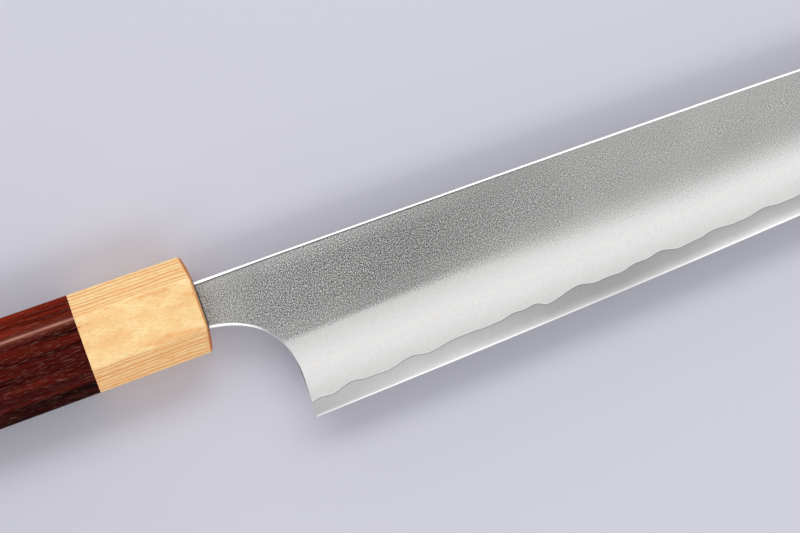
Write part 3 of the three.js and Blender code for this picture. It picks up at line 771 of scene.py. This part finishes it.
def cladding(name, shift, side, material):
    """One face's soft layer: along the core, over the rounded spine, down the flat and the bevel."""
    x = np.linspace(HEEL_X, TIP_X, SEARCH_STEPS)
    end_x = x[spine_y(x) - edge_y(x) - clad_rise(x, shift) > HONED_WIDTH][-1]
    low, high, on_choil = station_lines(lambda x: clad_rise(x, shift), end_x)
    low_rise, high_rise = above_edge(low), above_edge(high)
    span = high_rise - low_rise
    high_wall = half_thickness(high[:, 0]) - core_z(high[:, 0], shift)
    low_wall = face_z(low[:, 0], low_rise) - core_z(low[:, 0], shift)
    spine_width = np.interp(high[:, 0], (0, HEEL_X), SPINE_POLISH)
    spine_width = np.minimum(spine_width, POLISH_LIMIT * span)[:, None]
    spine_depth = np.minimum(EASE_DEPTH, EASE_LIMIT * high_wall)[:, None]
    choil_width = np.minimum(np.where(on_choil, CHOIL_POLISH, NO_EASE), low_wall)[:, None]
    choil_depth = np.minimum(np.where(on_choil, EASE_DEPTH, NO_EASE), EASE_LIMIT * low_wall)[:, None]
    ease_width, ease_depth = EASE_PROFILE.T[:, None]
    least, most = (low_rise + limit * span for limit in RIDGE_LIMITS)
    split = np.clip(ridge_rise(low[:, 0]), least, most)[:, None]
    top = high_rise[:, None] - FACE_START * spine_width
    bottom = low_rise[:, None] + FACE_START * choil_width
    rises = np.hstack([
        high_rise[:, None] - spine_width * ease_width,
        top + (split - top) * np.linspace(0, 1, FLAT_ROWS)[None, :],
        split + (bottom - split) * np.linspace(0, 1, BEVEL_ROWS)[None, 1:] ** ROW_CROWDING,
        low_rise[:, None] + choil_width * ease_width[:, ::-1],
    ])
    plain = np.zeros((len(low), FLAT_ROWS + BEVEL_ROWS - 1))
    drop = np.hstack([spine_depth * ease_depth, plain, choil_depth * ease_depth[:, ::-1]])
    points = points_across(low, high, rises, low_rise, high_rise)
    outer_z = face_z(points[..., 0], above_edge(points)) - drop
    inner = np.stack([low, high], axis=1)
    inner_z = core_z(inner[..., 0], shift)
    xy = np.hstack([inner, points])
    z = np.hstack([inner_z, outer_z])
    rings = np.concatenate([xy, side * z[..., None]], axis=-1)
    polish = np.hstack([np.ones_like(inner_z), (drop > 0) * 1.0])
    polish[:, [1 + len(EASE_PROFILE), -len(EASE_PROFILE)]] = 1
    x, y = xy[..., 0], xy[..., 1]
    values = {
        "polish": polish,
        "rise": above_edge(xy),
        "ridge": ridge_rise(x),
        "below_spine": spine_y(x) - y,
        "below_polish": spine_y(x) - y - FACE_START * spine_width,
        "above_line": above_edge(xy) - clad_rise(x, shift),
    }
    if side < 0:
        rings = rings[:, ::-1]
        values = {value: numbers[:, ::-1] for value, numbers in values.items()}
    return skin(name, rings, values, material)


def core(name, material):
    """The hard layer, bare below the clad lines and ending in the cutting edge."""
    low, high, _ = station_lines(lambda x: np.zeros_like(x), TIP_X)
    low_rise, high_rise = above_edge(low), above_edge(high)
    span = high_rise - low_rise
    sides, shares = [], []
    for shift, side in ((LEFT_SHIFT, -1), (0, 1)):
        line = np.maximum(clad_rise(low[:, 0], shift), low_rise + BARE_LEAST * span)[:, None]
        honed = np.minimum(HONED_WIDTH, HONED_LIMIT * span)
        honed = np.maximum(honed, low_rise + HONED_LEAST * (line[:, 0] - low_rise))[:, None]
        rises = np.hstack([
            low_rise[:, None],
            honed + (line - honed) * np.linspace(0, 1, CORE_ROWS)[None, :],
            high_rise[:, None],
        ])
        points = points_across(low, high, rises, low_rise, high_rise)
        rise = above_edge(points)
        z = np.minimum(face_z(points[..., 0], rise), core_z(points[..., 0], shift))
        sides.append(np.concatenate([points, side * z[..., None]], axis=-1))
        shares.append(rise / clad_rise(points[..., 0], shift))
    rings = np.hstack([sides[0], sides[1][:, ::-1]])
    line_share = np.hstack([shares[0], shares[1][:, ::-1]]) / 2
    return skin(name, rings, {"line_share": line_share}, material)


# The octagonal handle

# Oil soaks in past an end's rim, and more so between these distances from its middle, at the corners
SOAK_REACH = 1.5
SOAK_CORNER = (4.5, 7)
# Share of the painted ridge highlight on the lower ridges
LOWER_HIGHLIGHT = 0.05
# Cuts across an end crowd towards its top and bottom. Its crown moves CROWN_REACH roundings of the rim
CUT_CROWDING = 1.3
CROWN_REACH = 1.5


def half_height(x):
    """Half of the handle's height at a place along it."""
    return FERRULE_HIGH[1] + HEIGHT_GAIN * (x - JOINT_X)


def crown(y, end_x):
    """How far a crowned end falls back, at a distance from the handle's middle."""
    return END_CROWN * (np.abs(y) / half_height(end_x)) ** CROWN_POWER


def octagon_tree():
    """A node tree for a tapered octagonal bar with rounded ridges, between two places on the handle."""
    tree = bpy.data.node_groups.new("octagon_bar", "GeometryNodeTree")
    tree.is_modifier = True
    for name in ("Thickness", "Front Height", "Height Gain", "Corner Cut", "Ridge Round", "Back", "Front"):
        tree.interface.new_socket(name, in_out="INPUT", socket_type="NodeSocketFloat")
    tree.interface.new_socket("Place", in_out="INPUT", socket_type="NodeSocketVector")
    tree.interface.new_socket("Wood", in_out="INPUT", socket_type="NodeSocketMaterial")
    tree.interface.new_socket("Bar", in_out="OUTPUT", socket_type="NodeSocketGeometry")
    given = add(tree, "NodeGroupInput").outputs
    block = add(tree, "GeometryNodeCurvePrimitiveQuadrilateral", {
        "Width": given["Thickness"], "Height": given["Front Height"]})
    faceted = add(tree, "GeometryNodeFilletCurve", {
        "Curve": block, "Count": 1, "Radius": given["Corner Cut"]}, mode="POLY")
    eased = add(tree, "GeometryNodeFilletCurve", {
        "Curve": faceted, "Count": RIDGE_STEPS, "Radius": given["Ridge Round"]}, mode="POLY")
    end = add(tree, "GeometryNodeFillCurve", {"Curve": eased}, mode="NGONS")
    length = add(tree, "ShaderNodeMath", {0: given["Front"], 1: given["Back"]}, operation="SUBTRACT")
    drawn = add(tree, "GeometryNodeExtrudeMesh", {
        "Mesh": end, "Offset": (0, 0, 1), "Offset Scale": length, "Individual": False})
    back_face = add(tree, "GeometryNodeFlipFaces", {"Mesh": end})
    halves = add(tree, "GeometryNodeJoinGeometry")
    for part in (drawn, back_face):
        feed(tree, halves, {0: part})
    closed = add(tree, "GeometryNodeMergeByDistance", {"Geometry": halves, "Distance": MERGE})
    here = add(tree, "ShaderNodeSeparateXYZ", {0: add(tree, "GeometryNodeInputPosition")}).outputs
    x = add(tree, "ShaderNodeMath", {0: here["Z"], 1: given["Back"]}, operation="ADD")
    side = add(tree, "ShaderNodeMath", {0: here["Y"]}, operation="SIGN")
    gain = add(tree, "ShaderNodeMath", {0: x, 1: given["Height Gain"]}, operation="MULTIPLY")
    y = add(tree, "ShaderNodeMath", {0: side, 1: gain, 2: here["Y"]}, operation="MULTIPLY_ADD")
    turned = add(tree, "ShaderNodeCombineXYZ", {0: x, 1: y, 2: here["X"]})
    moved = add(tree, "ShaderNodeVectorMath", {0: turned, 1: given["Place"]}, operation="ADD")
    tapered = add(tree, "GeometryNodeSetPosition", {"Geometry": closed, "Position": moved})
    real = add(tree, "GeometryNodeRealizeInstances", {0: tapered})
    finished = add(tree, "GeometryNodeSetMaterial", {"Geometry": real, "Material": given["Wood"]})
    add(tree, "NodeGroupOutput", {"Bar": finished})
    return tree


def make_plain(piece):
    """Turns what a piece's modifiers give into its own plain mesh."""
    evaluated = piece.evaluated_get(bpy.context.evaluated_depsgraph_get())
    mesh = bpy.data.meshes.new_from_object(evaluated)
    piece.modifiers.clear()
    piece.data = mesh


def cut_out(piece, cutters):
    """Cuts the space of each cutter out of a piece."""
    for cutter in cutters:
        boolean = piece.modifiers.new("inside", "BOOLEAN")
        boolean.operation = "DIFFERENCE"
        boolean.solver = "EXACT"
        boolean.object = cutter
    make_plain(piece)


def draw_bar(name, tree, back, front, wood):
    """A stretch of the octagonal bar between two places along the handle."""
    piece = new_object(name, bpy.data.meshes.new(name))
    sizes = {
        "Thickness": (FERRULE_HIGH[2] - FERRULE_LOW[2]) * MM,
        "Front Height": 2 * half_height(0) * MM,
        "Height Gain": HEIGHT_GAIN,
        "Corner Cut": CORNER_CUT * MM,
        "Ridge Round": RIDGE_ROUND * MM,
        "Back": back * MM,
        "Front": front * MM,
        "Place": ORIGIN,
        "Wood": wood,
    }
    modifier = piece.modifiers.new("octagon", "NODES")
    modifier.node_group = tree
    for item in tree.interface.items_tree:
        if item.in_out == "INPUT":
            modifier[item.identifier] = sizes[item.name]
    make_plain(piece)
    return piece


def round_end(mesh, end_x, end_round, inward):
    """Rounds the rim of a bar's end and crowns the end, which falls back inward."""
    shape = bmesh.new()
    shape.from_mesh(mesh)
    bmesh.ops.recalc_face_normals(shape, faces=shape.faces)
    end = ORIGIN[0] + end_x * MM
    rim = [e for e in shape.edges if all(abs(v.co.x - end) < NEAR for v in e.verts)]
    bmesh.ops.bevel(
        shape, geom=rim, offset=end_round * MM, segments=RIM_STEPS, profile=RIM_PROFILE, affect="EDGES",
        material=-1)
    for share in np.sin(np.linspace(-CUT_CROWDING, CUT_CROWDING, DOME_CUTS)):
        flat = [f for f in shape.faces if all(abs(v.co.x - end) < NEAR for v in f.verts)]
        edges = dict.fromkeys(e for f in flat for e in f.edges)
        verts = dict.fromkeys(v for f in flat for v in f.verts)
        bmesh.ops.bisect_plane(
            shape, geom=[*flat, *edges, *verts], dist=MERGE, plane_no=(0, 1, 0),
            plane_co=(end, ORIGIN[1] + share * half_height(end_x) * MM, 0))
    for v in shape.verts:
        if abs(v.co.x - end) < CROWN_REACH * end_round * MM:
            v.co.x += inward * crown((v.co.y - ORIGIN[1]) / MM, end_x) * MM
    shape.to_mesh(mesh)
    shape.free()


def mark_wood(mesh, end_x, end_round):
    """Marks the oil in a bar's end, the painted highlight on its ridges and the distance past its upper
    ridge.
    """
    x, y, z = (np.array([v.co for v in mesh.vertices]) - ORIGIN).T / MM
    ridge_y = half_height(x) - CORNER_CUT
    off_ridge = np.hypot(np.abs(y) - ridge_y, np.abs(z) - FERRULE_HIGH[2])
    ridge_reach = RIDGE_ROUND * math.tan(math.pi / 8)
    from_end = np.abs(x - end_x) - crown(y, end_x)
    soaked = np.clip(SOAK_REACH * (1 - from_end / end_round), 0, 1)
    corner = np.interp(np.abs(y), SOAK_CORNER, (0, 1))
    mark(mesh, {
        "end_grain": soaked ** (3 - 2 * corner) * (0.55 + 0.45 * corner),
        "ridge_highlight": np.clip(1 - off_ridge / ridge_reach, 0, 1) * np.where(y > 0, 1, LOWER_HIGHLIGHT),
        "past_ridge": y - ridge_y,
    })


def octagon_bar(name, tree, back, front, wood, end_x, end_round, cutters):
    """A stretch of the handle, with one end's rim rounded and its inside cut out."""
    piece = draw_bar(name, tree, back, front, wood)
    round_end(piece.data, end_x, end_round, 1 if end_x == back else -1)
    cut_out(piece, cutters)
    mark_wood(piece.data, end_x, end_round)
    smooth(piece.data)
    return piece


def bore_ring(radius):
    """Points round the handle's axis."""
    turn = np.linspace(0, 2 * math.pi, BORE_SIDES, endpoint=False)
    return np.column_stack([0 * turn, radius * np.cos(turn), radius * np.sin(turn)])


def neck_ring(space, steps=2):
    """The neck's rectangle with some space round it, as points up one long side and down the other."""
    y = np.linspace(NECK_BOTTOM - space, SPINE_Y + space, steps)
    side = NECK_THICKNESS / 2 + space
    up = np.column_stack([0 * y, y, 0 * y - side])
    return np.vstack([up, up[::-1] * (1, 1, -1)])


def straight_cutter(ring, back, front):
    """A cutter along the handle with a ring's outline."""
    return skin("cutter", [ring + (x, 0, 0) for x in (back, front)], {}, None)


def filler_bead(name, material):
    """The filler round the neck, standing proud beside its flat sides and wiped flush at both ends."""
    outside = neck_ring(MOUTH_CLEARANCE - FILLER_GAP, BEAD_STEPS)
    lip = neck_ring(STEEL_GAP + BEAD_LIP, BEAD_STEPS)
    inside = neck_ring(STEEL_GAP, BEAD_STEPS)
    along = np.linspace(-1, 1, BEAD_STEPS)
    proud = np.zeros_like(lip)
    proud[:, 0] = BEAD_PROUD * (1 - np.concatenate([along, along[::-1]]) ** BEAD_POWER)
    back = (BEAD_DEPTH, 0, 0)
    rings = [outside - back, outside, lip + proud, inside + proud, inside - back]
    return skin(name, rings, {}, material, sleeve=True)


# The knife

steel = clad_steel()
pieces = [
    (core("blade_core", core_steel()), "core_steel", "core_steel"),
    (cladding("blade_right", 0, 1, steel), "right_cladding", "clad_steel"),
    (cladding("blade_left", LEFT_SHIFT, -1, steel), "left_cladding", "clad_steel"),
]

bar = octagon_tree()
bore = bore_ring((DOWEL_HIGH[1] - DOWEL_LOW[1]) / 2 + GLUE_GAP)
cutters = [
    straight_cutter(neck_ring(MOUTH_CLEARANCE), -MOUTH_DEPTH - MOUTH_PAST, CUT_PAST),
    straight_cutter(bore, JOINT_X - CUT_PAST, -MOUTH_DEPTH),
    straight_cutter(bore, DOWEL_LOW[0] - GLUE_GAP, JOINT_X + CUT_PAST),
]
ferrule = octagon_bar("handle_ferrule", bar, JOINT_X, 0, pale_wood(), 0, RIM_ROUND, cutters[:2])
grip = octagon_bar("handle_grip", bar, BUTT_X, JOINT_X, rosewood(), BUTT_X, BUTT_ROUND, cutters[2:])
for cutter in cutters:
    bpy.data.objects.remove(cutter)
seal = plain_filler("dark_seal", ("#3c3834", "#55504a"), 0.3, 0.5)
pieces += [
    (ferrule, "ferrule", "pale_wood"),
    (grip, "handle_body", "rosewood"),
    (filler_bead("neck_bead", seal), "mouth_seal", "filler"),
]

for piece, node, slot in pieces:
    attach(piece, "root")
    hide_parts(node)

hidden_finishes = {
    "tang_dowel": plain_filler("sawn_dowel_wood", ("#b9925f", "#cfae80"), 0.8, 0.75),
    "tang_bedding": plain_filler("set_adhesive", ("#b0a080", "#c0b08e"), 1.5, 0.4),
}
for node, finish in hidden_finishes.items():
    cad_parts[node].material_slots[0].material = finish

# Floor, light and camera, in metres

FLOOR_CORNERS = ((-3, -3, 0), (3, -3, 0), (3, 3, 0), (-3, 3, 0))
VIEW_CENTRE = placed((47.2, -7.8, 0))
CAMERA_DISTANCE = 4.0
PIXELS_PER_MM = 4.25
PHOTO_WIDTH = 800
KNIFE_TURN = math.radians(19.6)

floor_mesh = bpy.data.meshes.new("floor")
floor_mesh.from_pydata(FLOOR_CORNERS, [], [(0, 1, 2, 3)])
floor_mesh.materials.append(pale_paper())
floor = new_object("floor", floor_mesh)

world = bpy.data.worlds.new("studio")
bpy.context.scene.world = world
world.use_nodes = True
dome = world.node_tree
feed(dome, dome.nodes["Background"], {"Color": (1, 1, 1, 1), "Strength": 0.5})


def softbox(name, place, size, radiance):
    """A large soft lamp that faces the middle of the view."""
    lamp = bpy.data.lights.new(name, "AREA")
    lamp.shape = "RECTANGLE"
    lamp.size, lamp.size_y = size
    lamp.energy = radiance * math.pi * size[0] * size[1]
    holder = new_object(name, lamp)
    holder.location = VIEW_CENTRE + np.array(place)
    holder.rotation_euler = (-Vector(place)).to_track_quat("-Z", "Y").to_euler()


softbox("spine side softbox", place=(0.1, 0.8, 1.02), size=(1.9, 0.5), radiance=2.55)
softbox("edge side softbox", place=(0.1, -0.8, 1.02), size=(1.9, 0.5), radiance=1.75)
softbox("spine side low fill", place=(0.1, 1.3, 0.45), size=(1.9, 0.4), radiance=1.1)
softbox("edge side low fill", place=(0.1, -1.3, 0.45), size=(1.9, 0.4), radiance=0.7)

lens = bpy.data.cameras.new("camera")
lens.sensor_width = 36
lens.lens = lens.sensor_width * PIXELS_PER_MM / MM * CAMERA_DISTANCE / PHOTO_WIDTH
camera = new_object("camera", lens)
camera.location = VIEW_CENTRE + np.array([0, 0, CAMERA_DISTANCE])
camera.rotation_euler = (0, 0, -KNIFE_TURN)
bpy.context.scene.camera = camera
bpy.context.scene.view_settings.view_transform = "Standard"
